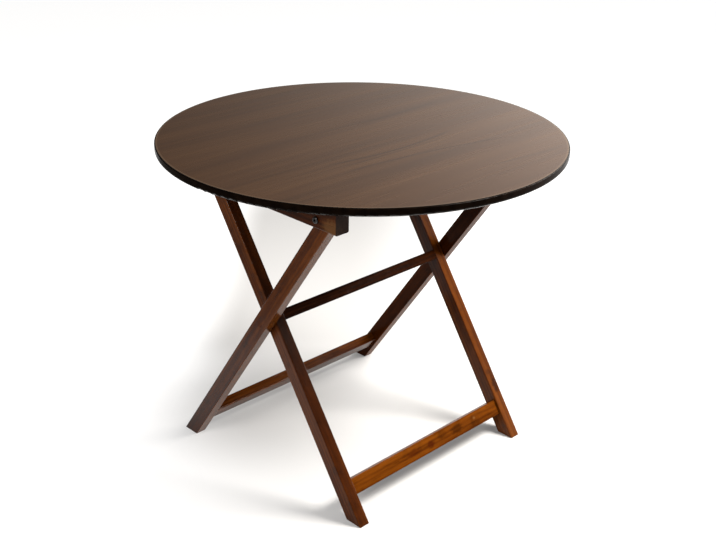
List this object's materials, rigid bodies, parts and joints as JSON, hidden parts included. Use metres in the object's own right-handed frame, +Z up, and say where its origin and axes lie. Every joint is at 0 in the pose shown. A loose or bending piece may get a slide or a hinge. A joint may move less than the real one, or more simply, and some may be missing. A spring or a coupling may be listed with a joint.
{
  "type": "round folding table",
  "caption": "Round wooden folding table: a veneered top with a dark rounded rim on two crossed leg frames that close as the top tips up, so that the table folds flat.",
  "frame": {"origin": "on the floor under the middle of the round top", "axes": "+Z up; X is the way the crossed legs open, with the top's pivot on the +X side; Y along the rails"},
  "size_m": [0.8999, 0.9, 0.755],
  "materials": {
    "walnut_face": "satin lacquer",
    "dark_rim": "satin lacquer",
    "stained_wood": "satin walnut stain",
    "core_board": "raw board",
    "backing_sheet": "matt lacquer",
    "dowel_beech": "raw",
    "bolt_steel": "nickel plated",
    "zinc_steel": "zinc plated",
    "insert_brass": "plain"
  },
  "bodies": {
    "outer_frame": {"front_outer_leg": "stained_wood", "rear_outer_leg": "stained_wood", "outer_bottom_rail": "stained_wood", "outer_rail_dowels": "dowel_beech", "top_pivot_bolts": "bolt_steel", "top_pivot_washers": "bolt_steel", "leg_inserts": "insert_brass", "cross_bolt_plugs": "stained_wood"},
    "inner_frame": {"front_inner_leg": "stained_wood", "rear_inner_leg": "stained_wood", "inner_bottom_rail": "stained_wood", "middle_rail": "stained_wood", "inner_top_rail": "stained_wood", "inner_rail_dowels": "dowel_beech", "cross_pivot_bolts": "bolt_steel", "cross_pivot_washers": "bolt_steel", "barrel_nuts": "bolt_steel"},
    "table_top": {"top_core": "core_board", "face_veneer": "walnut_face", "backing_veneer": "backing_sheet", "edge_band": "dark_rim", "front_batten": "stained_wood", "rear_batten": "stained_wood", "batten_screws": "zinc_steel", "stop_cleat": "stained_wood", "cleat_screws": "zinc_steel"}
  },
  "joints": [
    {"name": "top_tip", "type": "hinge", "parent": "outer_frame", "child": "table_top", "pos_m": [0.21975, 0, 0.709], "axis": [0, 1, 0], "range_deg": [0, 124.4]},
    {"name": "leg_fold", "type": "hinge", "parent": "outer_frame", "child": "inner_frame", "pos_m": [0, 0, 0.394], "axis": [0, 1, 0], "range_deg": [0, 64.2]}
  ],
  "couplings": [
    {"joint": "leg_fold", "follows": "top_tip", "ratio": 0.516}
  ]
}
